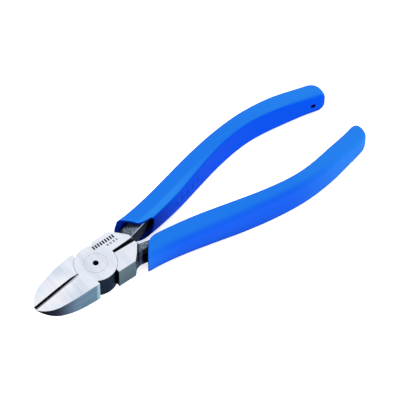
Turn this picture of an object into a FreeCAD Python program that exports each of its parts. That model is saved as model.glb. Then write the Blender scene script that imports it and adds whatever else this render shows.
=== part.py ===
"""Diagonal cutting nippers with a lap joint, closed, lying flat.

The pivot axis is Z.  The jaws point to -X, the handles to +X.  The ground
underside of the head is the plane z = 0.  lower_lever and lower_grip are
drawn in the same place as upper_lever and upper_grip, then turned half a turn
about the long axis.  The jaws slope down to the tip on the upper face only,
so a turned lever has its jaw cuts drawn the other way up.
"""
import FreeCAD, Part
import math
import os
import Sketcher

SIZES = {
    # head
    "head_thickness": 10.0,
    "disc_radius": 8.6,
    "seam_gap": 0.12,
    "lap_plane": 5.0,
    "lap_floor": 5.03,
    "edge_gap": 0.02,
    # jaw, seen from above
    "jaw_shoulder_x": 4.7,
    "jaw_shoulder_y": 8.9,
    "jaw_side_x": 22.0,
    "jaw_side_y": 6.9,
    "jaw_side_radius": 78.0,
    "tip_x": 29.7,
    "tip_y": 1.1,
    "jaw_nose_radius": 12.5,
    # jaw, seen from the side
    "slope_start": 8.5,
    "slope_radius": 210.0,
    "tip_top": 5.4,
    "tip_underside": 5.0,
    "relief_start": 13.0,
    "relief_radius": 30.0,
    # cutting edge
    "edge_start": 8.7,
    "edge_tip_height": 4.95,
    "bevel_run": 4.0,
    "bevel_rise": 2.6,
    "back_bevel_start": 9.1,
    "back_bevel_top": 9.9,
    "back_bevel_run": 3.4,
    "back_bevel_rise": 11.0,
    # rear shoulder
    "rear_x": 4.6,
    "rear_y": 9.0,
    "rear_side_end": 12.8,
    "rear_knee_x": 15.5,
    "rear_knee_y": 6.3,
    "rear_end_x": 18.5,
    "rear_end_y": 2.6,
    "slot_half_front": 0.5,
    "slot_half_rear": 1.05,
    # neck between shoulder and tang
    "neck_start": 12.4,
    "neck_end_x": 19.5,
    "neck_end_y": 7.3,
    "neck_radius": 8.5,
    "neck_inner_y": 1.3,
    "neck_step": 1.8,
    # rivet
    "rivet_shank_radius": 2.9,
    "rivet_head_radius": 4.6,
    "rivet_head_depth": 1.7,
    "rivet_hole_radius": 1.2,
    "rivet_hole_depth": 3.0,
    "running_clearance": 0.03,
    # sleeve
    "sleeve_clearance": 0.05,
    "mouth_outer_x": 16.2,
    "mouth_outer_y": 12.4,
    "mouth_inner_x": 27.0,
    "mouth_inner_y": 0.8,
    "mouth_cut_start": 8.0,
    "mouth_notch_x": 26.3,
    "mouth_notch_radius": 5.2,
    "mouth_notch_depth": 5.4,
    "end_round": 2.0,
    "eye_x": 119.1,
    "eye_radius": 1.0,
    "eye_start": 9.0,
    "eye_depth": 3.7,
    # outlines of cuts reach this far past the steel
    "clear_above": 14.0,
    "clear_ahead": 34.0,
    "clear_below": 4.0,
}

# stations along a handle: distance from the pivot, distance from the long
# axis, half width, half height
TANG = [
    (11.0, 4.1, 3.0, 3.6),
    (18.0, 4.7, 2.9, 3.7),
    (24.0, 5.9, 2.8, 3.8),
    (31.0, 7.5, 2.5, 3.8),
    (42.0, 10.2, 2.2, 3.6),
    (56.0, 13.6, 2.1, 3.4),
    (72.0, 17.3, 2.0, 3.2),
    (90.0, 19.1, 1.9, 3.0),
    (104.0, 18.0, 1.9, 3.0),
    (117.0, 15.0, 1.9, 3.0),
]
SLEEVE = [
    (14.0, 6.1, 5.0, 5.2),
    (24.0, 7.0, 4.6, 5.3),
    (34.0, 8.5, 4.6, 5.6),
    (46.0, 11.0, 4.6, 6.1),
    (60.0, 14.5, 4.1, 6.8),
    (74.0, 17.5, 3.5, 7.1),
    (90.0, 19.1, 3.3, 6.8),
    (104.0, 17.8, 3.6, 6.4),
    (116.0, 15.1, 4.0, 6.3),
    (125.6, 12.3, 4.3, 6.5),
]
MOUTH = [
    (13.0, 6.1, 3.9, 4.1),
    (22.0, 6.9, 3.5, 4.3),
    (30.0, 7.6, 2.7, 4.0),
]
TANG_CORNER = 1.1
SLEEVE_CORNER = 2.2

HALF_TURN = 180.0
ALMOST_NOTHING = 0.01

doc = FreeCAD.newDocument("Nippers")
sheet = doc.addObject("Spreadsheet::Sheet", "Sizes")


def add_size(row, name, value):
    sheet.set("A%d" % row, name)
    sheet.set("B%d" % row, repr(value))
    sheet.setAlias("B%d" % row, name)


def station_name(kind, number, what):
    return "%s_station%d_%s" % (kind, number, what)


def fill_sheet():
    for kind, stations, corner in (
        ("tang", TANG, TANG_CORNER),
        ("sleeve", SLEEVE, SLEEVE_CORNER),
        ("mouth", MOUTH, TANG_CORNER),
    ):
        SIZES[kind + "_corner"] = corner
        for number, station in enumerate(stations, 1):
            for what, value in zip(("along", "aside", "half_width", "half_height"), station):
                SIZES[station_name(kind, number, what)] = value
    for row, (name, value) in enumerate(SIZES.items(), 1):
        add_size(row, name, value)
    doc.recompute()


def size(formula):
    """Value of a sum of size names, such as "-tip_x" or "head_thickness - neck_step"."""
    total = 0.0
    sign = 1
    for word in formula.split():
        if word in "+-":
            sign = 1 if word == "+" else -1
        elif word.startswith("-"):
            total -= sign * SIZES[word[1:]]
        elif word != "zero":
            total += sign * SIZES[word]
    return total


def bind(thing, path, formula):
    """Bind a property to a formula in which each size is written as its name."""
    words = []
    for word in formula.split():
        sign = "-" if word.startswith("-") and word[1:] in SIZES else ""
        name = word[len(sign):]
        words.append("0" if name == "zero" else sign + ("Sizes." + name if name in SIZES else name))
    thing.setExpression(path, " ".join(words))


def new_sketch(body, name, plane, offset=None):
    """Sketch on one of the body's own origin planes, moved along its normal."""
    sketch = body.newObject("Sketcher::SketchObject", name)
    support = [f for f in body.Origin.OriginFeatures if f.Role == plane][0]
    sketch.AttachmentSupport = (support, [""])
    sketch.MapMode = "FlatFace"
    if offset:
        bind(sketch, "AttachmentOffset.Base.z", offset)
    return sketch


def pin(sketch, geometry, point, x_formula, y_formula):
    """Hold a point of a sketch at two sums of sizes."""
    for kind, formula in (("DistanceX", x_formula), ("DistanceY", y_formula)):
        value = size(formula)
        if formula == "zero":
            axis = -2 if kind == "DistanceX" else -1
            sketch.addConstraint(Sketcher.Constraint("PointOnObject", geometry, point, axis))
            continue
        ends = (-1, 1, geometry, point) if value > 0 else (geometry, point, -1, 1)
        number = sketch.addConstraint(Sketcher.Constraint(kind, *ends, abs(value)))
        bind(sketch, "Constraints[%d]" % number, formula if value > 0 else "-1 * ( " + formula + " )")


def arc_between(start, end, radius, left):
    """Arc of the given radius from start to end; left says which side its centre is on."""
    middle = (start + end) * 0.5
    half = (end - start) * 0.5
    rise = math.sqrt(radius ** 2 - half.Length ** 2)
    normal = FreeCAD.Vector(-half.y, half.x, 0).normalize()
    centre = middle + normal * (rise if left else -rise)
    circle = Part.Circle(centre, FreeCAD.Vector(0, 0, 1), radius)
    first, last = (start, end) if left else (end, start)
    return Part.ArcOfCircle(circle, circle.parameter(first), circle.parameter(last))


def outline(sketch, corners, arcs=None):
    """Closed outline through named corners; arcs maps a side to (radius name, left)."""
    arcs = arcs or {}
    points = [FreeCAD.Vector(size(x), size(y), 0) for x, y in corners]
    starts = []
    for side, point in enumerate(points):
        target = points[(side + 1) % len(points)]
        if side in arcs:
            radius, left = arcs[side]
            sketch.addGeometry(arc_between(point, target, size(radius), left))
            starts.append((side, 1 if left else 2, 2 if left else 1))
            number = sketch.addConstraint(Sketcher.Constraint("Radius", side, size(radius)))
            bind(sketch, "Constraints[%d]" % number, radius)
        else:
            sketch.addGeometry(Part.LineSegment(point, target))
            starts.append((side, 1, 2))
    for side, (geometry, start, end) in enumerate(starts):
        after = starts[(side + 1) % len(starts)]
        sketch.addConstraint(Sketcher.Constraint("Coincident", geometry, end, after[0], after[1]))
        pin(sketch, geometry, start, *corners[side])


def circle_sketch(body, name, radius, offset=None, plane="XY_Plane", middle=("zero", "zero")):
    """Circle whose middle is at two sums of sizes."""
    sketch = new_sketch(body, name, plane, offset)
    centre = FreeCAD.Vector(size(middle[0]), size(middle[1]), 0)
    sketch.addGeometry(Part.Circle(centre, FreeCAD.Vector(0, 0, 1), size(radius)))
    pin(sketch, 0, 3, *middle)
    number = sketch.addConstraint(Sketcher.Constraint("Radius", 0, size(radius)))
    bind(sketch, "Constraints[%d]" % number, radius)
    return sketch


def feature(body, kind, name, profile, sizes=None, **settings):
    """Add a PartDesign feature whose sizes are bound to formulas."""
    made = body.newObject("PartDesign::" + kind, name)
    made.Profile = profile
    for key, value in settings.items():
        setattr(made, key, value)
    for key, formula in (sizes or {}).items():
        bind(made, key, formula)
    doc.recompute()
    return made


def pad_outline(body, name, corners, arcs, bottom, height):
    sketch = new_sketch(body, name + "_outline", "XY_Plane", bottom)
    outline(sketch, corners, arcs)
    return feature(body, "Pad", name, sketch, {"Length": height})


def section_sketch(body, kind, number, grow=None):
    """Rounded rectangle across a handle, at one of its stations."""
    name = station_name(kind, number, "section")
    along, aside, half_width, half_height = [
        station_name(kind, number, what) for what in ("along", "aside", "half_width", "half_height")
    ]
    corner = kind + "_corner"
    sketch = new_sketch(body, name, "YZ_Plane", along)
    middle = FreeCAD.Vector(size(aside), size("lap_plane"), 0)
    extra = size(grow) if grow else 0.0
    x = size(half_width) + extra
    y = size(half_height) + extra
    radius = size(corner) + extra
    corners = [(1, -1), (1, 1), (-1, 1), (-1, -1)]
    for turn, (side_x, side_y) in enumerate(corners):
        centre = middle + FreeCAD.Vector(side_x * (x - radius), side_y * (y - radius), 0)
        circle = Part.Circle(centre, FreeCAD.Vector(0, 0, 1), radius)
        start = math.radians(90 * (turn - 1))
        sketch.addGeometry(Part.ArcOfCircle(circle, start, start + math.pi / 2))
    for turn in range(4):
        first = sketch.getPoint(turn, 2)
        last = sketch.getPoint((turn + 1) % 4, 1)
        sketch.addGeometry(Part.LineSegment(first, last))
    for turn in range(4):
        sketch.addConstraint(Sketcher.Constraint("Tangent", turn, 2, 4 + turn, 1))
        sketch.addConstraint(Sketcher.Constraint("Tangent", 4 + turn, 2, (turn + 1) % 4, 1))
    for turn in range(3):
        sketch.addConstraint(Sketcher.Constraint("Equal", turn, turn + 1))
    sketch.addConstraint(Sketcher.Constraint("Horizontal", 5))
    sketch.addConstraint(Sketcher.Constraint("Vertical", 4))
    added = " + " + grow if grow else ""
    right = middle.x + x
    top = middle.y + y
    for constraint, formula in (
        (Sketcher.Constraint("DistanceX", -1, 1, 4, 1, right), aside + " + " + half_width + added),
        (Sketcher.Constraint("DistanceX", 6, 2, 4, 1, 2 * x), "2 * ( " + half_width + added + " )"),
        (Sketcher.Constraint("DistanceY", -1, 1, 5, 1, top), "lap_plane + " + half_height + added),
        (Sketcher.Constraint("DistanceY", 7, 1, 5, 1, 2 * y), "2 * ( " + half_height + added + " )"),
        (Sketcher.Constraint("Radius", 0, radius), corner + added),
    ):
        index = sketch.addConstraint(constraint)
        bind(sketch, "Constraints[%d]" % index, formula)
    return sketch


def loft(body, kind, operation, name, stations, grow=None):
    sections = [section_sketch(body, kind, n + 1, grow) for n in range(len(stations))]
    made = body.newObject("PartDesign::" + operation, name)
    made.Profile = sections[0]
    made.Sections = sections[1:]
    doc.recompute()
    return made


def jaw(body):
    corners = [
        ("-jaw_shoulder_x", "-jaw_shoulder_y"),
        ("-jaw_shoulder_x", "-edge_gap"),
        ("-tip_x", "-edge_gap"),
        ("-tip_x", "-tip_y"),
        ("-jaw_side_x", "-jaw_side_y"),
    ]
    arcs = {3: ("jaw_nose_radius", True), 4: ("jaw_side_radius", True)}
    pad_outline(body, "jaw", corners, arcs, None, "head_thickness")


def rear_shoulder(body):
    corners = [
        ("rear_x", "slot_half_front"),
        ("rear_end_x", "slot_half_rear"),
        ("rear_end_x", "rear_end_y"),
        ("rear_knee_x", "rear_knee_y"),
        ("rear_side_end", "rear_y"),
        ("rear_x", "rear_y"),
    ]
    pad_outline(body, "rear_shoulder", corners, None, None, "head_thickness")
    neck = [
        ("neck_start", "neck_inner_y"),
        ("neck_end_x", "neck_inner_y"),
        ("neck_end_x", "neck_end_y"),
        ("neck_start", "rear_y"),
    ]
    arcs = {2: ("neck_radius", False)}
    pad_outline(body, "neck", neck, arcs, "neck_step", "head_thickness - 2 * neck_step")


def lap(body):
    """Room for the other lever's lap, then this lever's own."""
    room = circle_sketch(body, "lap_room_circle", "disc_radius + seam_gap")
    feature(body, "Pocket", "lap_room", room, {"Length": "lap_floor"}, Reversed=True)
    half = circle_sketch(body, "lap_circle", "disc_radius", "lap_floor")
    feature(body, "Pad", "lap", half, {"Length": "head_thickness - lap_floor"})


def upright(height, turned):
    """Height in a lever's own frame; a turned lever is built upside down."""
    if not turned:
        return height
    if height.startswith("-"):
        return "head_thickness + " + height[1:]
    if height in ("zero", "head_thickness"):
        return "zero" if height == "head_thickness" else "head_thickness"
    return "head_thickness - " + height


def side_cut(body, name, corners, curved_side, radius, turned):
    """Remove from the jaw, right across, what lies inside an outline seen from the side."""
    sketch = new_sketch(body, name + "_outline", "XZ_Plane")
    corners = [(x, upright(height, turned)) for x, height in corners]
    outline(sketch, corners, {curved_side: (radius, turned)})
    feature(body, "Pocket", name, sketch, {"Length": "2 * clear_ahead"}, Midplane=True)


def taper(body, turned):
    side_cut(body, "top_slope", [
        ("-slope_start", "head_thickness"),
        ("-slope_start", "clear_above"),
        ("-clear_ahead", "clear_above"),
        ("-clear_ahead", "tip_top"),
        ("-tip_x", "tip_top"),
    ], 4, "slope_radius", turned)
    side_cut(body, "underside_relief", [
        ("-relief_start", "zero"),
        ("-tip_x", "tip_underside"),
        ("-clear_ahead", "tip_underside"),
        ("-clear_ahead", "-clear_below"),
        ("-relief_start", "-clear_below"),
    ], 0, "relief_radius", turned)


def wedge(body, name, stations, run, rise, upward):
    """Three-cornered cut that runs along the cutting edge, below or above it."""
    sections = []
    for number, (along, height) in enumerate(stations, 1):
        sketch = new_sketch(body, "%s_section%d" % (name, number), "YZ_Plane", "-1 * " + along)
        reach = height + (" + " if upward else " - ") + rise
        corners = [("zero", height), ("zero", reach), ("-" + run, reach)]
        outline(sketch, corners)
        sections.append(sketch)
    made = body.newObject("PartDesign::SubtractiveLoft", name)
    made.Profile = sections[0]
    made.Sections = sections[1:]
    made.Ruled = True
    doc.recompute()


def cutting_edge(body, turned):
    top = [("edge_start", upright("head_thickness", turned)), ("tip_x", upright("edge_tip_height", turned))]
    back = [("back_bevel_start", upright("back_bevel_top", turned)), top[1]]
    wedge(body, "top_bevel", top, "bevel_run", "bevel_rise", not turned)
    wedge(body, "back_bevel", back, "back_bevel_run", "back_bevel_rise", turned)


def rivet_seat(body, clearance):
    """Countersunk bore through this lever's lap, with any running clearance."""
    shank = "rivet_shank_radius" + clearance
    head = "rivet_head_radius" + clearance
    sketch = new_sketch(body, "rivet_seat_outline", "XZ_Plane")
    outline(sketch, [
        ("zero", "lap_floor - seam_gap"),
        (shank, "lap_floor - seam_gap"),
        (shank, "head_thickness - rivet_head_depth"),
        (head, "head_thickness"),
        ("zero", "head_thickness"),
    ])
    feature(body, "Groove", "rivet_seat", sketch, ReferenceAxis=(sketch, ["V_Axis"]))


def lever(name, turned=False, clearance=""):
    body = doc.addObject("PartDesign::Body", name)
    body.Label = name
    doc.recompute()
    jaw(body)
    rear_shoulder(body)
    loft(body, "tang", "AdditiveLoft", "tang", TANG)
    lap(body)
    taper(body, turned)
    cutting_edge(body, turned)
    rivet_seat(body, clearance)
    return body


def rivet(name):
    """Pivot rivet with flush conical heads and a centre hole in the upper one."""
    body = doc.addObject("PartDesign::Body", name)
    body.Label = name
    doc.recompute()
    sketch = new_sketch(body, "rivet_outline", "XZ_Plane")
    outline(sketch, [
        ("zero", "zero"),
        ("rivet_head_radius", "zero"),
        ("rivet_shank_radius", "rivet_head_depth"),
        ("rivet_shank_radius", "head_thickness - rivet_head_depth"),
        ("rivet_head_radius", "head_thickness"),
        ("rivet_hole_radius", "head_thickness"),
        ("rivet_hole_radius", "head_thickness - rivet_hole_depth"),
        ("zero", "head_thickness - rivet_hole_depth"),
    ])
    feature(body, "Revolution", "rivet_turned", sketch, ReferenceAxis=(sketch, ["V_Axis"]))
    return body


def sleeve(name):
    """Dipped vinyl grip: a hollow sleeve whose mouth is cut back on the inner side.

    Near its closed end the inner side has a small blind hole.
    """
    body = doc.addObject("PartDesign::Body", name)
    body.Label = name
    doc.recompute()
    loft(body, "sleeve", "AdditiveLoft", "sleeve", SLEEVE)
    loft(body, "mouth", "SubtractiveLoft", "mouth_room", MOUTH)
    loft(body, "tang", "SubtractiveLoft", "tang_room", TANG, "sleeve_clearance")
    sketch = new_sketch(body, "mouth_cut_outline", "XY_Plane")
    outline(sketch, [
        ("mouth_outer_x", "mouth_outer_y"),
        ("mouth_cut_start", "mouth_outer_y"),
        ("mouth_cut_start", "mouth_inner_y"),
        ("mouth_inner_x", "mouth_inner_y"),
    ])
    feature(body, "Pocket", "mouth_cut", sketch, Type="ThroughAll", Midplane=True)
    notch = circle_sketch(
        body, "mouth_notch_circle", "mouth_notch_radius", None, "XZ_Plane", ("mouth_notch_x", "lap_plane"))
    feature(body, "Pocket", "mouth_notch", notch, {"Length": "mouth_notch_depth"})
    eye = circle_sketch(
        body, "eye_circle", "eye_radius", "-1 * eye_start", "XZ_Plane", ("eye_x", "lap_plane"))
    shell = feature(body, "Pocket", "eye", eye, {"Length": "eye_depth"})
    end_x = shell.Shape.BoundBox.XMax
    end = ["Edge%d" % n for n, edge in enumerate(shell.Shape.Edges, 1)
           if edge.CenterOfMass.x > end_x - ALMOST_NOTHING]
    rounded = body.newObject("PartDesign::Fillet", "rounded_end")
    rounded.Base = (shell, end)
    bind(rounded, "Radius", "end_round")
    doc.recompute()
    return body


def turn_over(body):
    """Half a turn about the long axis, through the middle of the head."""
    turn = FreeCAD.Rotation(FreeCAD.Vector(1, 0, 0), HALF_TURN)
    body.Placement = FreeCAD.Placement(FreeCAD.Vector(), turn)
    bind(body, "Placement.Base.z", "head_thickness")


def check(bodies):
    for item in doc.Objects:
        if "Invalid" in item.State or "Error" in item.State:
            raise RuntimeError("%s did not build: %s" % (item.Name, item.State))
    for body in bodies:
        if body.Shape.isNull() or not body.Shape.isValid() or len(body.Shape.Solids) != 1:
            raise RuntimeError("%s is not one valid solid" % body.Label)


def write(bodies):
    os.makedirs("parts", exist_ok=True)
    for body in bodies:
        body.Shape.exportStep("parts/%s.step" % body.Label)


fill_sheet()
upper_lever = lever("upper_lever")
lower_lever = lever("lower_lever", turned=True, clearance=" + running_clearance")
pivot_rivet = rivet("pivot_rivet")
upper_grip = sleeve("upper_grip")
lower_grip = sleeve("lower_grip")
turn_over(lower_lever)
turn_over(lower_grip)
doc.recompute()
pieces = [upper_lever, lower_lever, pivot_rivet, upper_grip, lower_grip]
check(pieces)
write(pieces)
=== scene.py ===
"""Looks of the diagonal cutting nippers: ground and blackened steel, dipped vinyl grips.

The steel pieces keep their CAD meshes and get node materials; both grips are replaced by finer
sleeves. x runs from the pivot towards the handles' ends, y across them, z up. The steel's and the
grips' tables and constants are in mm, and MM turns them into metres; the studio's sizes are in
metres. "Inner" is the side that faces the other handle, "far" the handle and jaw behind the long
axis as the camera sees it, "near" the one in front.
"""
import math

import bmesh
import bpy
import numpy as np
from mathutils import Matrix, Vector


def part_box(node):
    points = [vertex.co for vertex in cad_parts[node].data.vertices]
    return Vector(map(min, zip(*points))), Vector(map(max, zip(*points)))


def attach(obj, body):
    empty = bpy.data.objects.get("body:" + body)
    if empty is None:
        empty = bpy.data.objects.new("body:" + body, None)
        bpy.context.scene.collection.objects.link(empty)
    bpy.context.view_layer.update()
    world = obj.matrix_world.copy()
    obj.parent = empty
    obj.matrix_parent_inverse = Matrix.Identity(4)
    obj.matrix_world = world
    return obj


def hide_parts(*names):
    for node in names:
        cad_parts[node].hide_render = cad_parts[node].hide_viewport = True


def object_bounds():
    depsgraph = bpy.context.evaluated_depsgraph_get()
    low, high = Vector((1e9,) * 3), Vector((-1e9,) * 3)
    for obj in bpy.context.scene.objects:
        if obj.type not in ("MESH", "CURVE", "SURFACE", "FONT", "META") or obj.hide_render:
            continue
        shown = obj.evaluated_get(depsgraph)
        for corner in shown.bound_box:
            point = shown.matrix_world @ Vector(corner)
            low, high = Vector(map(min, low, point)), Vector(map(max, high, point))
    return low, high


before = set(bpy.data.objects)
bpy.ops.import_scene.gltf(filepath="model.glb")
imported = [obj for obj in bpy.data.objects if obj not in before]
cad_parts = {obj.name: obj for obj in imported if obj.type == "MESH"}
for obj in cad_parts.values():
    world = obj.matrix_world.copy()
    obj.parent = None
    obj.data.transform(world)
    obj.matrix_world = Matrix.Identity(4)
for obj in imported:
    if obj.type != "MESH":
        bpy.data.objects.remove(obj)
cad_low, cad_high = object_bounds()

MM = 0.001
WHITE = (1.0, 1.0, 1.0, 1.0)
STUDIO_LEVEL = 1.3  # the white world's strength, which rgb() allows for
HEAD_LOW, HEAD_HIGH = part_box("pivot_rivet")
MIDDLE = (HEAD_LOW.z + HEAD_HIGH.z) / 2
SLEEVE_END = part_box("upper_grip")[1].x

# ---------------------------------------------------------------- node helpers


class Nodes:
    """Short way of writing a material's node tree."""

    def __init__(self, material):
        material.use_nodes = True
        self.tree = material.node_tree
        self.tree.nodes.clear()
        self.shader = self.tree.nodes.new("ShaderNodeBsdfPrincipled")
        output = self.tree.nodes.new("ShaderNodeOutputMaterial")
        self.tree.links.new(self.shader.outputs["BSDF"], output.inputs["Surface"])
        place = self.tree.nodes.new("ShaderNodeTexCoord")
        self.place = place.outputs["Object"]
        split = self.tree.nodes.new("ShaderNodeSeparateXYZ")
        self.tree.links.new(self.place, split.inputs[0])
        self.x, self.y, self.z = split.outputs
        facing = self.tree.nodes.new("ShaderNodeSeparateXYZ")
        self.tree.links.new(place.outputs["Normal"], facing.inputs[0])
        self.nx, self.ny, self.nz = facing.outputs

    def put(self, value, socket):
        if isinstance(value, bpy.types.NodeSocket):
            self.tree.links.new(value, socket)
        else:
            socket.default_value = value

    def math(self, operation, *values):
        node = self.tree.nodes.new("ShaderNodeMath")
        node.operation = operation
        for number, value in enumerate(values):
            self.put(value, node.inputs[number])
        return node.outputs[0]

    def distance(self, first, second):
        """Length of the line with these two parts at right angles."""
        squares = [self.math("MULTIPLY", part, part) for part in (first, second)]
        return self.math("SQRT", self.math("ADD", *squares))

    def along(self, direction):
        """How far a place is along a direction in the tool's plane."""
        parts = [self.math("MULTIPLY", *pair) for pair in zip((self.x, self.y), direction)]
        return self.math("ADD", *parts)

    def away(self):
        """How far the surface faces away from the long axis: 1 outwards, -1 inwards."""
        return self.math("MULTIPLY", self.ny, self.math("SIGN", self.y))

    def step(self, value, low, high):
        """0 below low, 1 above high, smooth between; falls instead if low is above high."""
        node = self.tree.nodes.new("ShaderNodeMapRange")
        node.interpolation_type = "SMOOTHSTEP"
        self.put(value, node.inputs["Value"])
        rising = low < high
        node.inputs["From Min"].default_value = min(low, high)
        node.inputs["From Max"].default_value = max(low, high)
        node.inputs["To Min"].default_value = 0.0 if rising else 1.0
        node.inputs["To Max"].default_value = 1.0 if rising else 0.0
        return node.outputs[0]

    def step_mm(self, value, low, high):
        return self.step(value, low * MM, high * MM)

    def band(self, value, low, high, soft):
        """1 between low and high, fading to 0 over soft on either side."""
        return self.all(self.step(value, low - soft, low), self.step(value, high + soft, high))

    def band_mm(self, value, low, high, soft):
        return self.band(value, low * MM, high * MM, soft * MM)

    def fold(self, operation, masks):
        result = masks[0]
        for mask in masks[1:]:
            result = self.math(operation, result, mask)
        return result

    def all(self, *masks):
        return self.fold("MULTIPLY", masks)

    def any(self, *masks):
        return self.fold("MAXIMUM", masks)

    def invert(self, mask):
        return self.math("SUBTRACT", 1.0, mask)

    def mix_node(self, data_type, sockets, values):
        node = self.tree.nodes.new("ShaderNodeMix")
        node.data_type = data_type
        for socket, value in zip(("Factor", *sockets), values):
            self.put(value, node.inputs[socket])
        return node

    def mix(self, factor, first, second):
        """Colour between two colours."""
        return self.mix_node("RGBA", (6, 7), (factor, first, second)).outputs[2]

    def blend(self, factor, first, second):
        """Number between two numbers."""
        return self.mix_node("FLOAT", (2, 3), (factor, first, second)).outputs[0]

    def noise(self, scale, detail=3.0, roughness=0.5, stretch=(1, 1, 1)):
        mapping = self.tree.nodes.new("ShaderNodeMapping")
        mapping.inputs["Scale"].default_value = stretch
        self.tree.links.new(self.place, mapping.inputs["Vector"])
        node = self.tree.nodes.new("ShaderNodeTexNoise")
        self.tree.links.new(mapping.outputs[0], node.inputs["Vector"])
        node.inputs["Scale"].default_value = scale
        node.inputs["Detail"].default_value = detail
        node.inputs["Roughness"].default_value = roughness
        return node.outputs["Fac"]

    def bump(self, height, distance, strength, before=None):
        node = self.tree.nodes.new("ShaderNodeBump")
        self.put(height, node.inputs["Height"])
        node.inputs["Distance"].default_value = distance
        node.inputs["Strength"].default_value = strength
        if before is not None:
            self.tree.links.new(before, node.inputs["Normal"])
        return node.outputs[0]

    def ramp(self, value, stops):
        """Colour from a table of (place, colour), for a value of 0 to 1."""
        node = self.tree.nodes.new("ShaderNodeValToRGB")
        self.put(value, node.inputs[0])
        while len(node.color_ramp.elements) < len(stops):
            node.color_ramp.elements.new(0.5)
        for element, (place, colour) in zip(node.color_ramp.elements, stops):
            element.position = place
            element.color = colour
        return node.outputs[0]

    def finish(self, colour, roughness, metallic, normal=None):
        self.put(colour, self.shader.inputs["Base Color"])
        self.put(roughness, self.shader.inputs["Roughness"])
        self.put(metallic, self.shader.inputs["Metallic"])
        if normal is not None:
            self.put(normal, self.shader.inputs["Normal"])


def rgb(red, green, blue):
    """Linear base colour that the studio's light shows as this display colour of 0 to 255."""
    values = [v / 255 for v in (red, green, blue)]
    linear = [v / 12.92 if v <= 0.04045 else ((v + 0.055) / 1.055) ** 2.4 for v in values]
    return (*[v / STUDIO_LEVEL for v in linear], 1.0)


# ---------------------------------------------------------------- steel

FACE_LEVELS = (0.5, 9.5)  # ground faces lie outside these heights
JAW_REAR, JAW_TIP = -8.6, -29.6
SHOULDER_REAR = 18.7
DISC_RADIUS = 8.5
RING_PITCH = 1.1
RIVET_EDGE = (4.55, 4.65)
# rows of dashes on the far shoulder: from and to along it, pitch, from and to across it, strength
MARK_ROWS = [
    (3.3, 13.6, 1.18, 5.3, 7.0, 1.0),
    (8.5, 13.7, 1.5, 3.5, 4.5, 0.6),
]
DASH = (0.04, 0.58, 0.04)  # start, end and softness of a dash, in pitches
MARK_DEPTH = 6.0  # in depths of the grinding lines
# painted reflection: lighter and darker bands on the jaws' ground faces, from the rear of the jaw
# to its tip
JAW_PAINTED_REFLECTION = [
    (0.0, rgb(232, 237, 247)),
    (0.1, rgb(206, 219, 232)),
    (0.38, rgb(230, 237, 248)),
    (0.55, rgb(246, 241, 250)),
    (0.78, rgb(222, 234, 246)),
    (1.0, rgb(244, 246, 250)),
]
# from the shoulder to the tip: a painted highlight in the narrow first strip, then darker towards
# the tip
FLANK_TONES_AND_HIGHLIGHT = [
    (0.0, rgb(160, 190, 200)),
    (0.009, rgb(150, 180, 192)),
    (0.016, rgb(104, 134, 154)),
    (0.4, rgb(104, 128, 148)),
    (0.62, rgb(82, 98, 116)),
    (0.85, rgb(34, 40, 52)),
    (1.0, rgb(8, 9, 14)),
]
# directions in the tool's plane that lead into the near and the far sleeve's mouth
INTO_NEAR = (0.782, -0.623)
INTO_FAR = (0.501, 0.629)


def marks(n):
    """Rows of short dashes cut into the far shoulder's upper face."""
    rows = []
    for start, end, pitch, low, high, strength in MARK_ROWS:
        turns = n.math("MULTIPLY", n.math("SUBTRACT", n.x, start * MM), 1 / (pitch * MM))
        dashes = n.band(n.math("FRACT", turns), *DASH)
        row = n.all(dashes, n.band_mm(n.x, start, end, 0.06), n.band_mm(n.y, low, high, 0.08))
        rows.append(n.all(row, strength))
    return n.all(n.any(*rows), n.step_mm(n.z, 9.5, 9.8))


def ground_mask(n, steep, ahead, at_face):
    """The jaws' sloped tops, the flat faces of head and shoulders, and the far shoulder's front."""
    flat = n.step(steep, 0.62, 0.75)
    on_head = n.all(at_face, n.step_mm(n.x, SHOULDER_REAR + 0.2, SHOULDER_REAR))
    forward = n.step(n.nx, -0.8, -0.9)
    behind_disc = n.all(n.step_mm(n.x, 2.0, 3.0), n.step_mm(n.x, 6.0, 5.5))
    shoulder_front = n.all(forward, n.step_mm(n.y, 3.0, 4.0), behind_disc)
    return n.any(n.all(flat, n.any(ahead, on_head)), shoulder_front)


def ground_colour(n, radius, ahead, at_face):
    """Pale satin steel with grinding streaks, painted reflection in bands along the jaws, a painted
    highlight by the slit, and turned rings.
    """
    coarse = n.noise(420.0, 3.0, 0.6, (1.0, 0.1, 1.0))
    cloud = n.noise(90.0, 2.0, 0.5)
    # painted reflection in bands along the jaw
    jaw_reflection = n.ramp(n.step_mm(n.x, JAW_REAR, JAW_TIP), JAW_PAINTED_REFLECTION)
    # painted highlight: near white on the jaws' tops beside the slit, towards the tip
    by_slit = n.step_mm(n.math("ABSOLUTE", n.y), 7.0, 1.0)
    slit_highlight = n.all(ahead, by_slit, n.step_mm(n.x, -9.0, -14.0), 0.8)
    face = n.mix(slit_highlight, jaw_reflection, rgb(250, 248, 252))
    face = n.mix(n.all(n.step(coarse, 0.38, 0.72), 0.4), face, rgb(196, 204, 220))
    face = n.mix(n.all(n.step(cloud, 0.4, 0.65), 0.25), face, rgb(208, 214, 230))
    on_disc = n.all(n.step_mm(radius, DISC_RADIUS + 0.2, DISC_RADIUS), at_face)
    waves = n.math("SINE", n.math("MULTIPLY", radius, 2 * math.pi / (RING_PITCH * MM)))
    rings = n.all(on_disc, n.step_mm(radius, 6.2, 5.4), n.step(waves, 0.0, 1.0), 0.3)
    face = n.mix(rings, face, rgb(186, 190, 208))
    rivet_line = n.all(on_disc, n.band_mm(radius, *RIVET_EDGE, 0.12), 0.33)
    return n.mix(rivet_line, face, rgb(110, 112, 130))


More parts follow.
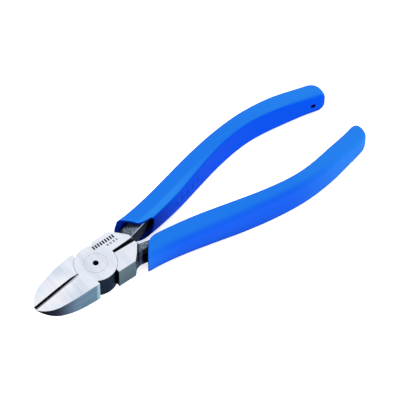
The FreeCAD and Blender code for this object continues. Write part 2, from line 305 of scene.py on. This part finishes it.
def flank_colour(n, radius, near):
    """Blued steel with a painted highlight at the shoulder end, darkening towards the tip, and
    painted shade on the near side's steps and in the slot.
    """
    streak = n.noise(500.0, 2.0, 0.5, (0.15, 1.0, 1.0))
    flank = n.ramp(n.step_mm(n.x, -4.5, -29.5), FLANK_TONES_AND_HIGHLIGHT)
    # painted shade: the rear flank darker towards the bottom
    rear = n.mix(n.step_mm(n.z, 3.0, 9.8), rgb(88, 110, 116), rgb(102, 120, 126))
    flank = n.mix(n.step_mm(n.x, -1.0, 1.0), flank, rear)
    flank = n.mix(n.all(n.step(streak, 0.45, 0.75), 0.2), flank, rgb(30, 42, 56))
    # painted shade on the near side's rim, on its faces along the tool, and in the slot
    on_rim = n.all(n.step_mm(radius, 9.0, 8.85), near)
    along_tool = n.all(n.step(n.math("ABSOLUTE", n.nx), 0.9, 0.97), near)
    in_slot = n.all(n.step_mm(n.math("ABSOLUTE", n.y), 1.4, 1.2), n.step_mm(n.x, 0.0, 1.0))
    return n.mix(n.any(on_rim, along_tool, in_slot), flank, rgb(24, 36, 48))


def tang_colour(n, near, smooth_side):
    """Forged and blackened steel: mottled on top, smooth and black at the sides; with painted shade
    behind the head and under the far sleeve, and painted highlights on a streak and the inner top
    edge.
    """
    mottle = n.noise(2200.0, 6.0, 0.78)
    patches = n.noise(420.0, 3.0, 0.6)
    into_near = n.along(INTO_NEAR)
    into_far = n.along(INTO_FAR)
    tang = n.mix(n.step(mottle, 0.42, 0.62), rgb(38, 46, 58), rgb(170, 186, 202))
    tang = n.mix(n.all(n.step(patches, 0.5, 0.75), 0.4), tang, rgb(24, 28, 38))
    tang = n.mix(n.step_mm(n.y, -5.2, -6.2), tang, rgb(16, 19, 28))
    # painted shade: a dark strip on the near tang just behind the head
    shade_by_shoulder = n.all(n.step_mm(into_near, 17.0, 16.5), near)
    tang = n.mix(shade_by_shoulder, tang, rgb(6, 7, 11))
    # painted shadow of the far sleeve on its tang, near the mouth's rim
    in_mouth = n.any(n.step_mm(into_far, 13.9, 15.0), n.step_mm(into_near, 10.8, 9.9))
    tang = n.mix(n.all(in_mouth, n.invert(near), 0.9), tang, rgb(6, 10, 30))
    tang = n.mix(smooth_side, tang, rgb(6, 7, 12))
    # painted highlight: a grey streak on the near tang's dark outer part
    streak_highlight = n.all(n.band_mm(into_near, 17.3, 17.9, 0.5), n.step_mm(n.y, -5.0, -6.0), 0.7)
    tang = n.mix(streak_highlight, tang, rgb(70, 84, 112))
    # painted highlight along the tang's inner top edge
    edge_highlight = n.all(
        n.band(n.nz, 0.62, 0.8, 0.08),
        n.step(n.away(), -0.3, -0.45),
        n.step_mm(n.x, 18.5, 19.5),
        n.step_mm(n.x, 32.0, 30.0),
    )
    return n.mix(edge_highlight, tang, rgb(196, 206, 226)), mottle


def cutting_bevel(n, ahead, width):
    """Strip beside the cutting edge, narrower where it meets the disc."""
    taper = n.math("MULTIPLY", n.step_mm(n.x, -12.5, JAW_REAR), 0.4 * MM)
    tapered = n.math("ADD", n.math("ABSOLUTE", n.y), taper)
    return n.all(ahead, n.step_mm(tapered, width + 0.05, width - 0.05), n.step(n.nz, 0.1, 0.3))


def steel(name, bevel_colour, bevel_width):
    """Ground faces, blued flanks and a rough black tang, told apart by place and facing."""
    material = bpy.data.materials.new(name)
    n = Nodes(material)
    radius = n.distance(n.x, n.y)
    steep = n.math("ABSOLUTE", n.nz)
    near = n.step_mm(n.y, 1.0, -1.0)
    ahead = n.step_mm(n.x, JAW_REAR + 0.2, JAW_REAR)
    at_face = n.invert(n.band_mm(n.z, *FACE_LEVELS, 0.2))
    forged = n.step_mm(n.x, 13.0, 16.5)
    smooth_side = n.step(steep, 0.6, 0.4)

    ground = ground_mask(n, steep, ahead, at_face)
    mark = marks(n)
    face = n.mix(mark, ground_colour(n, radius, ahead, at_face), rgb(6, 8, 14))
    tang, mottle = tang_colour(n, near, smooth_side)
    side = n.mix(forged, flank_colour(n, radius, near), tang)
    colour = n.mix(ground, side, face)
    colour = n.mix(cutting_bevel(n, ahead, bevel_width), colour, bevel_colour)

    fine = n.noise(900.0, 2.0, 0.5, (1.0, 0.05, 1.0))
    rough_ground = n.blend(fine, 0.3, 0.46)
    rough_side = n.blend(forged, 0.38, n.blend(smooth_side, 0.62, 0.28))
    roughness = n.blend(ground, rough_side, rough_ground)
    relief = n.math("SUBTRACT", n.all(fine, ground), n.math("MULTIPLY", mark, MARK_DEPTH))
    grind = n.bump(relief, 0.012 * MM, 0.5)
    forge = n.bump(n.all(mottle, forged, n.invert(smooth_side)), 0.25 * MM, 0.8, grind)
    n.finish(colour, roughness, n.blend(forged, 0.95, 0.85), forge)
    n.shader.inputs["Specular Tint"].default_value = (0.5, 0.52, 0.6, 1.0)
    return material


def assign(node, material):
    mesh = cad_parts[node].data
    mesh.materials.clear()
    mesh.materials.append(material)


# painted light and shade: the bevel of the jaw that faces the light is painted grey, the other one
# black as its shade
assign("upper_lever", steel("upper_steel", rgb(174, 181, 194), 0.95))
assign("lower_lever", steel("lower_steel", rgb(6, 7, 12), 0.76))
assign("pivot_rivet", steel("rivet_steel", rgb(112, 118, 132), 0.5))

# ---------------------------------------------------------------- vinyl grips

# distance from the pivot, distance from the long axis, half width, half height
SLEEVE = [
    (14.0, 6.0, 5.0, 5.2),
    (24.0, 7.0, 4.6, 5.3),
    (34.0, 8.5, 4.6, 5.6),
    (46.0, 11.0, 4.6, 6.1),
    (60.0, 14.5, 4.1, 6.8),
    (74.0, 17.5, 3.5, 7.1),
    (90.0, 19.1, 3.3, 6.8),
    (104.0, 17.8, 3.6, 6.4),
    (116.0, 15.1, 4.0, 6.3),
    (125.6, 12.3, 4.3, 6.5),
]
# across the section, -1 on the inner side, and how far along the mouth's rim is:
# the far sleeve's upper rim is cut back in a curve, every other one straight across
RIM_CURVED = [
    (-1.0, 24.4),
    (-0.65, 24.5),
    (-0.36, 24.1),
    (0.0, 23.2),
    (0.32, 22.0),
    (0.6, 20.8),
    (0.82, 19.6),
    (1.0, 18.4),
]
RIM_STRAIGHT = [
    (-1.0, 24.5),
    (-0.7, 23.4),
    (0.0, 20.8),
    (1.0, 17.1),
]
# up the inner side, and how far along the rim of its notch is
RIM_NOTCH = [
    (-1.0, 24.6),
    (-0.92, 26.8),
    (-0.8, 28.9),
    (-0.6, 30.1),
    (-0.2, 31.2),
    (0.26, 31.7),
    (0.7, 31.3),
    (1.0, 30.3),
]
MOUTH = 24.0  # the station whose section the rim is measured on
# radius of each corner, -1 lower or 1 upper face, -1 inner or 1 outer side
CORNERS = [(3.2, -1, 1), (1.5, 1, 1), (1.25, 1, -1), (1.25, -1, -1)]
LEAST_RADIUS = 0.3
FULL_ROUND = 0.92  # largest radius of a corner, in half widths
CORNER_POINTS = 8
SIDE_STEPS = (8, 6, 12, 6)  # from each corner to the next
OUTER_WALL, INNER_WALL, TOP_WALL = 2.2, 0.8, 1.45
# depth behind the rim and part of the wall's thickness gone in, from deep in the mouth outwards
MOUTH_RINGS = [(9.0, 1.6), (6.0, 1.3), (3.5, 1.1), (1.5, 1.0), (0.6, 0.98)]
LIP_RINGS = [
    (0.25, 0.95),
    (0.05, 0.82),
    (0.0, 0.65),
    (0.0, 0.4),
    (0.04, 0.2),
    (0.16, 0.06),
    (0.45, 0.0),
]
SLANTED_RINGS, SQUARE_RINGS = 14, 34
SQUARE_FROM = 46.0  # rings stand square to the long axis from here
ROUNDER_FROM = 102.0  # corners grow rounder from here to the dome
DOME = 4.6
DOME_ANGLES = (10, 20, 30, 40, 50, 60, 69, 77, 84)
DOME_NARROWING, DOME_LOWERING = 0.55, 0.6
# the far sleeve's inner side and underside are fuller; the near one's end stands further out
FULLER = 1.06
HEIGHT_LIMIT = 7.09
END_SHIFT = 0.9
END_SHIFT_SPAN = (106, 125)
# the faces fall a little towards the inner side, up to here along the handle
RIDGE_DROP = 0.35
RIDGE_END = 80.0
EYE_X, EYE_RADIUS, EYE_DEPTH, EYE_REACH = 119.1, 1.0, 2.0, 3.0
BAR_COUNT, BAR_START, BAR_PITCH = 5, 46.1, 3.4
BAR_SIZE = (2.1, 0.5, 3.2)
BAR_EDGE = 0.15


def spline(places, values):
    """Smooth curve through the stations, with slopes from the neighbours."""
    slopes = np.gradient(values, places)

    def at(x):
        i = int(np.clip(np.searchsorted(places, x) - 1, 0, len(places) - 2))
        span = places[i + 1] - places[i]
        u = (x - places[i]) / span
        first = (1 + 2 * u) * (1 - u) ** 2 * values[i] + u * (1 - u) ** 2 * span * slopes[i]
        last = u * u * (3 - 2 * u) * values[i + 1] + u * u * (u - 1) * span * slopes[i + 1]
        return first + last

    return at


STATIONS, *COLUMNS = zip(*SLEEVE)
centre_at, width_at, height_at = [spline(STATIONS, column) for column in COLUMNS]
curved_at = spline(*zip(*RIM_CURVED))
straight_at = spline(*zip(*RIM_STRAIGHT))
notch_at = spline(*zip(*RIM_NOTCH))


def section(half_width, half_height, wall, rounder=0.0):
    """Points round a section: (across, up), with the inner side at -half_width.

    wall, from 0 to 1, moves them in from the outside to the inside of the vinyl;
    rounder, from 0 to 1, makes all four corners as large as the width allows.
    """
    full = FULL_ROUND * half_width
    top = half_height - TOP_WALL * wall
    arcs = []
    for turn, (radius, up, out) in enumerate(CORNERS):
        thickness = wall * (OUTER_WALL if out > 0 else INNER_WALL)
        radius = max(radius + (full - radius) * rounder - thickness, LEAST_RADIUS)
        cx = out * (half_width - thickness - radius)
        cy = up * (top - radius)
        angles = np.radians(90 * (turn - 1) + np.linspace(0, 90, CORNER_POINTS))
        arcs.append([(cx + radius * math.cos(a), cy + radius * math.sin(a)) for a in angles])
    points = []
    for turn, steps in enumerate(SIDE_STEPS):
        points += arcs[turn]
        start = np.array(arcs[turn][-1])
        end = np.array(arcs[(turn + 1) % len(arcs)][0])
        points += [tuple(start + (end - start) * k / steps) for k in range(1, steps)]
    return np.array(points)


def smooth(value, low, high):
    u = min(max((value - low) / (high - low), 0.0), 1.0)
    return u * u * (3 - 2 * u)


def rim_at(across, up, side):
    """Where the mouth's rim is, along the handle, for a place on the section of -1 to 1."""
    slant = straight_at(across)
    if side > 0:
        slant += (curved_at(across) - slant) * smooth(up, -0.1, 0.9)
    return slant + (notch_at(up) - slant) * smooth(-across, 0.62, 0.84)


def place(x, across, up, side):
    """Point of a sleeve in metres, from its distance along, across and up in mm."""
    if side > 0 and across < 0:
        across *= FULLER
    if side > 0 and up < 0:
        up = max(up * FULLER, -HEIGHT_LIMIT)
    aside = centre_at(x) + across
    if side < 0:
        aside += END_SHIFT * smooth(x, *END_SHIFT_SPAN)
    if abs(up) > 1:
        fade = smooth(-x, -RIDGE_END, -RIDGE_END / 2)
        inwards = smooth(-across / width_at(x), 0.3, 0.9)
        up -= math.copysign(RIDGE_DROP, up) * inwards * fade
    return (x * MM, side * aside * MM, MIDDLE + side * up * MM)


def sleeve_rings(side):
    """Rings of points from deep in the mouth, out over the rim and along to the rounded end."""
    dome_start = SLEEVE_END / MM - DOME
    size = np.array([width_at(MOUTH), height_at(MOUTH)])

    def rims(wall=0.0):
        return [rim_at(u, v, side) for u, v in section(*size, min(wall, 1.0)) / size]

    def point(x, k, wall):
        rounder = smooth(x, ROUNDER_FROM, dome_start)
        return place(x, *section(width_at(x), height_at(x), wall, rounder)[k], side)

    def ring(starts, wall=0.0):
        return [point(x, k, wall) for k, x in enumerate(starts)]

    rings = [ring([x + depth for x in rims(wall)], wall) for depth, wall in MOUTH_RINGS + LIP_RINGS]
    behind_lip = [x + LIP_RINGS[-1][0] for x in rims()]
    for part in np.linspace(0, 1, SLANTED_RINGS)[1:-1]:
        rings.append(ring([x + (SQUARE_FROM - x) * part for x in behind_lip]))
    for x in np.linspace(SQUARE_FROM, dome_start, SQUARE_RINGS):
        rings.append(ring([x] * len(behind_lip)))
    last = section(width_at(dome_start), height_at(dome_start), 0.0, 1.0)
    for angle in np.radians(DOME_ANGLES):
        narrow = math.cos(angle) ** DOME_NARROWING
        low = math.cos(angle) ** DOME_LOWERING
        x = dome_start + DOME * math.sin(angle)
        rings.append([place(x, u * narrow, v * low, side) for u, v in last])
    return rings


def tube(name, rings):
    """Closed mesh through rings of equal length; its faces run ring by ring, then the end fans."""
    around = len(rings[0])
    vertices = [p for ring in rings for p in ring]
    faces = []
    for r in range(len(rings) - 1):
        here, after = r * around, (r + 1) * around
        for k in range(around):
            beside = (k + 1) % around
            faces.append((here + k, here + beside, after + beside, after + k))
    for ring, first in ((rings[0], 0), (rings[-1], (len(rings) - 1) * around)):
        middle = len(vertices)
        vertices.append(tuple(np.mean(np.array(ring), axis=0)))
        faces += [(first + k, first + (k + 1) % around, middle) for k in range(around)]
    mesh = bpy.data.meshes.new(name)
    mesh.from_pydata(vertices, [], faces)
    shell = bmesh.new()
    shell.from_mesh(mesh)
    bmesh.ops.recalc_face_normals(shell, faces=shell.faces)
    shell.to_mesh(mesh)
    shell.free()
    return mesh


def applied(piece):
    """Put the mesh with the piece's modifiers applied in place of its own."""
    graph = bpy.context.evaluated_depsgraph_get()
    piece.data = bpy.data.meshes.new_from_object(piece.evaluated_get(graph))
    piece.modifiers.clear()


def combine(piece, name, shape, operation):
    """Cut a tool's shape from the piece, or add it."""
    mesh = bpy.data.meshes.new(name)
    shape.to_mesh(mesh)
    shape.free()
    tool = bpy.data.objects.new("tool", mesh)
    bpy.context.scene.collection.objects.link(tool)
    change = piece.modifiers.new("change", "BOOLEAN")
    change.operation = operation
    change.solver = "EXACT"
    change.object = tool
    applied(piece)
    bpy.data.objects.remove(tool)


def inner_at(x, side):
    """Distance of the sleeve's inner side from the long axis."""
    return centre_at(x) - width_at(x) * (FULLER if side > 0 else 1.0)


def at_middle(x, y):
    """Place at the sleeves' middle height, as a move from the origin."""
    return Matrix.Translation(Vector((x, y, 0)) * MM + Vector((0, 0, MIDDLE)))


def drill(piece, side):
    """Small blind hole in the inner side near the closed end."""
    length = EYE_REACH + EYE_DEPTH
    aside = side * (inner_at(EYE_X, side) - EYE_REACH + length / 2)
    bit = bmesh.new()
    bmesh.ops.create_cone(
        bit,
        cap_ends=True,
        segments=32,
        radius1=EYE_RADIUS * MM,
        radius2=EYE_RADIUS * MM,
        depth=length * MM,
        matrix=at_middle(EYE_X, aside) @ Matrix.Rotation(math.pi / 2, 4, "X"),
    )
    combine(piece, "drill", bit, "DIFFERENCE")


def raise_bars(piece, side):
    """Row of low bars on the inner side, with softened edges."""
    bars = bmesh.new()
    size = Matrix.Diagonal((*[v * MM for v in BAR_SIZE], 1))
    for number in range(BAR_COUNT):
        x = BAR_START + BAR_PITCH * number
        slope = inner_at(x + 0.5, side) - inner_at(x - 0.5, side)
        turn = Matrix.Rotation(side * math.atan(slope), 4, "Z")
        matrix = at_middle(x, side * inner_at(x, side)) @ turn @ size
        bmesh.ops.create_cube(bars, size=1.0, matrix=matrix)
    edges = bars.edges[:]
    bmesh.ops.bevel(bars, geom=edges, offset=BAR_EDGE * MM, segments=2, profile=0.5, affect="EDGES")
    combine(piece, "bars", bars, "UNION")


def outside_colour(n, cloud):
    """Blue with painted shade: darker at the back, the underside, the mouth's rim, the inner side
    and inside the eye; with a painted highlight along the far sleeve's inner top edge and painted
    light towards the closed end.
    """
    away = n.away()
    inner = n.step(away, -0.55, -0.95)
    far = n.step_mm(n.y, -1.0, 1.0)
    # painted light: the top a little lighter towards the closed end
    top = n.mix(n.step_mm(n.x, 70.0, 115.0), rgb(31, 119, 228), rgb(38, 127, 231))
    top = n.mix(n.all(cloud, 0.3), top, rgb(29, 116, 236))
    # painted highlight along the far sleeve's inner top edge
    at_ridge = n.all(n.band(away, -0.6, -0.12, 0.08), n.step(n.nz, 0.3, 0.6))
    ridge_highlight = n.all(at_ridge, n.step_mm(n.x, RIDGE_END, RIDGE_END / 2), far)
    top = n.mix(ridge_highlight, top, rgb(42, 134, 234))
    # painted shade: the outer side darker than the top, along the handle
    back = n.all(n.step(away, 0.0, 0.9), n.step_mm(n.x, 115.0, 75.0), n.step_mm(n.x, 8.0, 34.0))
    top = n.mix(back, top, rgb(21, 92, 228))
    # painted shade: the inner side a deeper, darker blue than the top
    colour = n.mix(inner, top, n.mix(cloud, rgb(0, 87, 238), rgb(1, 94, 244)))
    # painted shade on the lower outer side
    low_back_shade = n.all(
        n.step(away, 0.2, 0.8),
        n.step(n.z, MIDDLE, MIDDLE - 6 * MM),
        n.step_mm(n.x, 95.0, 50.0),
    )
    colour = n.mix(n.all(low_back_shade, 0.7), colour, rgb(18, 78, 200))
    shaded = n.all(inner, n.step_mm(n.x, 46.0, 30.0), far)
    colour = n.mix(n.all(shaded, 0.65), colour, rgb(1, 30, 160))
    # painted shade on the upward faces low down by the mouth
    low_mouth_shade = n.all(
        n.step(n.nz, 0.1, 0.4),
        n.step(n.z, MIDDLE, MIDDLE - 2 * MM),
        n.step_mm(n.x, 40.0, 36.0),
    )
    colour = n.mix(low_mouth_shade, colour, rgb(1, 20, 100))
    # painted shade on the faces that turn downwards
    colour = n.mix(n.all(n.step(n.nz, 0.1, -0.5), 0.8), colour, rgb(2, 26, 120))
    # painted shade on the rim's end face at the mouth
    rim_shade = n.all(n.step(n.nx, -0.25, -0.6), n.step_mm(n.x, 34.0, 32.0))
    colour = n.mix(n.all(rim_shade, 0.9), colour, rgb(1, 26, 140))
    # painted shade inside the drilled eye
    from_eye = n.distance(n.math("SUBTRACT", n.x, EYE_X * MM), n.math("SUBTRACT", n.z, MIDDLE))
    eye_shade = n.all(
        n.step_mm(from_eye, EYE_RADIUS + 0.06, EYE_RADIUS + 0.02),
        n.step_mm(n.math("ABSOLUTE", n.y), 14.0, 13.5),
    )
    return n.mix(eye_shade, colour, rgb(1, 8, 70))


def vinyl(name, deep):
    """Dipped vinyl, smooth with a faint orange peel; deep is the inside of the mouth, painted a
    darker navy as shade.
    """
    material = bpy.data.materials.new(name)
    n = Nodes(material)
    cloud = n.noise(60.0, 2.0, 0.5)
    grain = n.noise(2600.0, 2.0, 0.5)
    # painted shade: the inside of the mouth a dark navy
    if deep:
        colour = n.mix(cloud, rgb(1, 18, 100), rgb(2, 24, 120))
    else:
        colour = outside_colour(n, cloud)
    n.finish(colour, n.blend(cloud, 0.42, 0.52), 0.0, n.bump(grain, 0.02 * MM, 0.25))
    n.shader.inputs["Specular Tint"].default_value = (0.25, 0.6, 1.0, 1.0)
    n.shader.inputs["Specular IOR Level"].default_value = 0.01
    return material


OUTSIDE = vinyl("blue_vinyl", False)
SHADED_INSIDE = vinyl("blue_vinyl_inside_shade", True)


def grip(name, node, body, side):
    """Sleeve in place of a CAD grip; side is 1 for the far handle and -1 for the near one."""
    rings = sleeve_rings(side)
    mesh = tube(name, rings)
    mesh.materials.append(OUTSIDE)
    mesh.materials.append(SHADED_INSIDE)
    around = len(rings[0])
    in_mouth = (len(MOUTH_RINGS) + 1) * around
    fan_start = (len(rings) - 1) * around
    for number, polygon in enumerate(mesh.polygons):
        polygon.use_smooth = True
        deep = number < in_mouth or fan_start <= number < fan_start + around
        polygon.material_index = 1 if deep else 0
    piece = bpy.data.objects.new(name, mesh)
    bpy.context.scene.collection.objects.link(piece)
    smoother = piece.modifiers.new("smoother", "SUBSURF")
    smoother.levels = 1
    smoother.render_levels = 1
    applied(piece)
    drill(piece, side)
    raise_bars(piece, side)
    piece.data.set_sharp_from_angle(angle=math.radians(50))
    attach(piece, body)
    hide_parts(node)


grip("vinyl_sleeve_upper", "upper_grip", "upper_half", 1)
grip("vinyl_sleeve_lower", "lower_grip", "lower_half", -1)

# ---------------------------------------------------------------- studio

FLOOR_REACH = 3.0
FLOOR_GAP = 0.02 * MM
FLOOR_GREYS = ((0.93, 0.93, 0.93, 1), (0.95, 0.95, 0.95, 1))
KEY_OFFSET, KEY_SIZE, KEY_POWER = (-0.7, -0.25, 0.8), 0.8, 1.5
AZIMUTH, ELEVATION = math.radians(-38.55), math.radians(53.5)
DISTANCE = 1.2
LENS = 270.8
AIM_OFFSET = (0.0053, 0.0014, 0.0)

scene = bpy.context.scene
centre = (cad_low + cad_high) / 2

floor_mesh = bpy.data.meshes.new("floor")
floor_level = cad_low.z - FLOOR_GAP
corners = [
    (x * FLOOR_REACH, y * FLOOR_REACH, floor_level)
    for x, y in ((-1, -1), (1, -1), (1, 1), (-1, 1))
]
floor_mesh.from_pydata(corners, [], [(0, 1, 2, 3)])
floor = bpy.data.objects.new("floor", floor_mesh)
scene.collection.objects.link(floor)
floor_material = bpy.data.materials.new("floor")
f = Nodes(floor_material)
f.finish(f.mix(f.noise(3.0), *FLOOR_GREYS), 0.9, 0.0)
f.shader.inputs["Specular IOR Level"].default_value = 0.1
f.shader.inputs["Emission Color"].default_value = WHITE
f.shader.inputs["Emission Strength"].default_value = 0.55
floor_mesh.materials.append(floor_material)

world = bpy.data.worlds.new("studio")
world.use_nodes = True
background = world.node_tree.nodes["Background"]
background.inputs["Color"].default_value = WHITE
background.inputs["Strength"].default_value = STUDIO_LEVEL
scene.world = world


def aim(thing, location, direction):
    """Put a lamp or camera in place, looking along a direction."""
    thing.location = location
    thing.rotation_mode = "QUATERNION"
    thing.rotation_quaternion = direction.to_track_quat("-Z", "Y")
    scene.collection.objects.link(thing)


key = bpy.data.lights.new("key_light", "AREA")
key.shape = "DISK"
key.size = KEY_SIZE
key.energy = KEY_POWER
key_offset = Vector(KEY_OFFSET)
aim(bpy.data.objects.new("key_light", key), centre + key_offset, -key_offset)

target = centre + Vector(AIM_OFFSET)
target.z = MIDDLE
back = Vector((
    math.sin(AZIMUTH) * math.cos(ELEVATION),
    -math.cos(AZIMUTH) * math.cos(ELEVATION),
    math.sin(ELEVATION),
))
camera = bpy.data.objects.new("camera", bpy.data.cameras.new("camera"))
camera.data.lens = LENS
camera.data.clip_start = 0.05
aim(camera, target + back * DISTANCE, -back)
scene.camera = camera
scene.view_settings.view_transform = "Standard"
